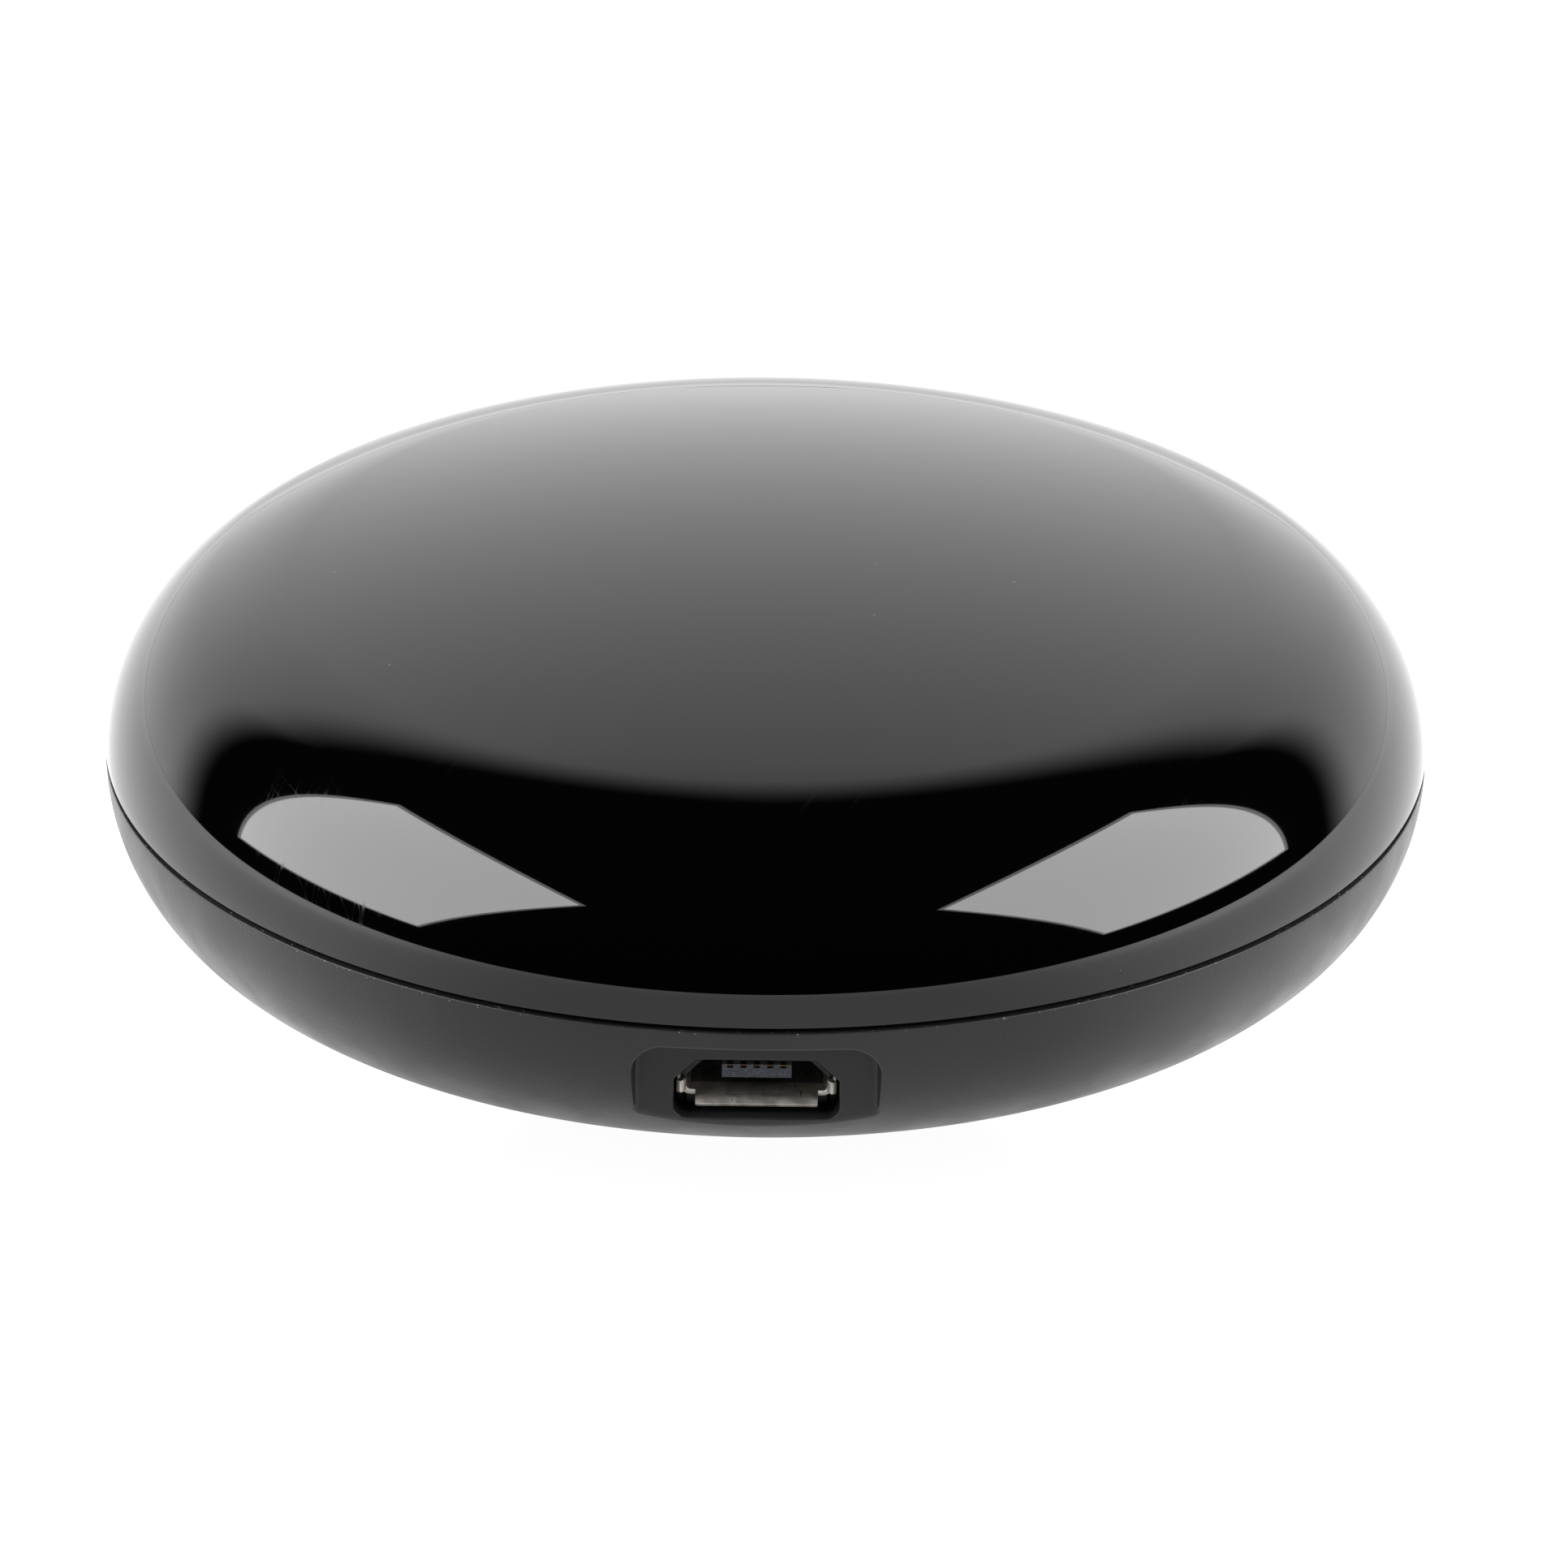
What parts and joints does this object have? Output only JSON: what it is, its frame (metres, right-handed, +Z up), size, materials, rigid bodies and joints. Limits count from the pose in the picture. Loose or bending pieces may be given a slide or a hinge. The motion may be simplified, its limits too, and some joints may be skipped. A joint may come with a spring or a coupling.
{
  "type": "infrared remote hub",
  "caption": "Puck-shaped desktop infrared hub: gloss domed cover on a matte bowl base, a pocket with a micro-USB port, and a recessed reset button underneath.",
  "frame": {"origin": "centre of the foot's ground plane, on the axis of the round body", "axes": "+Z up along the body's axis; the USB port faces -Y; +X is to the right of someone who looks at the port"},
  "size_m": [0.066, 0.066, 0.0226],
  "materials": {
    "gloss_black": "high gloss, infrared-clear",
    "matte_black": "fine matte texture",
    "foot_rubber": "matte",
    "board_black": "solder mask",
    "board_blue": "solder mask",
    "gold_plate": "gold plated",
    "steel": "plain",
    "nickel_steel": "nickel plated",
    "tin": "tinned",
    "port_plastic": "moulded",
    "chip_plastic": "moulded",
    "button_plastic": "satin",
    "lens_epoxy": "clear tinted",
    "can_metal": "satin",
    "ceramic": "fired ceramic",
    "white_plastic": "moulded",
    "led_epoxy": "clear"
  },
  "bodies": {
    "housing": {"top_cover": "gloss_black", "base_shell": "matte_black", "foot_ring": "foot_rubber", "main_pcb": "board_black", "pcb_pads": "gold_plate", "pcb_screws": "steel", "usb_shell": "nickel_steel", "usb_insulator": "port_plastic", "usb_contacts": "gold_plate", "reset_switch_body": "chip_plastic", "reset_switch_frame": "steel", "reset_switch_terminals": "tin", "module_board": "board_blue", "module_shield": "nickel_steel", "module_antenna": "gold_plate", "module_joints": "tin", "emitter_lenses": "lens_epoxy", "emitter_leads": "tin", "receiver_body": "chip_plastic", "receiver_leads": "tin", "regulator_body": "chip_plastic", "regulator_leads": "tin", "driver_bodies": "chip_plastic", "driver_leads": "tin", "capacitor_cans": "can_metal", "capacitor_bases": "chip_plastic", "capacitor_leads": "tin", "ceramic_capacitors": "ceramic", "chip_resistors": "chip_plastic", "chip_end_caps": "tin", "status_led_body": "white_plastic", "status_led_lens": "led_epoxy", "input_diode_body": "chip_plastic", "input_diode_leads": "tin"},
    "reset_button": {"reset_button_cap": "button_plastic", "reset_switch_stem": "button_plastic"}
  },
  "joints": [
    {"name": "reset_button_press", "type": "slide", "parent": "housing", "child": "reset_button", "axis": [0, 0, 1], "range_m": [0, 0.0003], "stiffness_N_per_m": 2000, "springref_m": -0.0003}
  ]
}
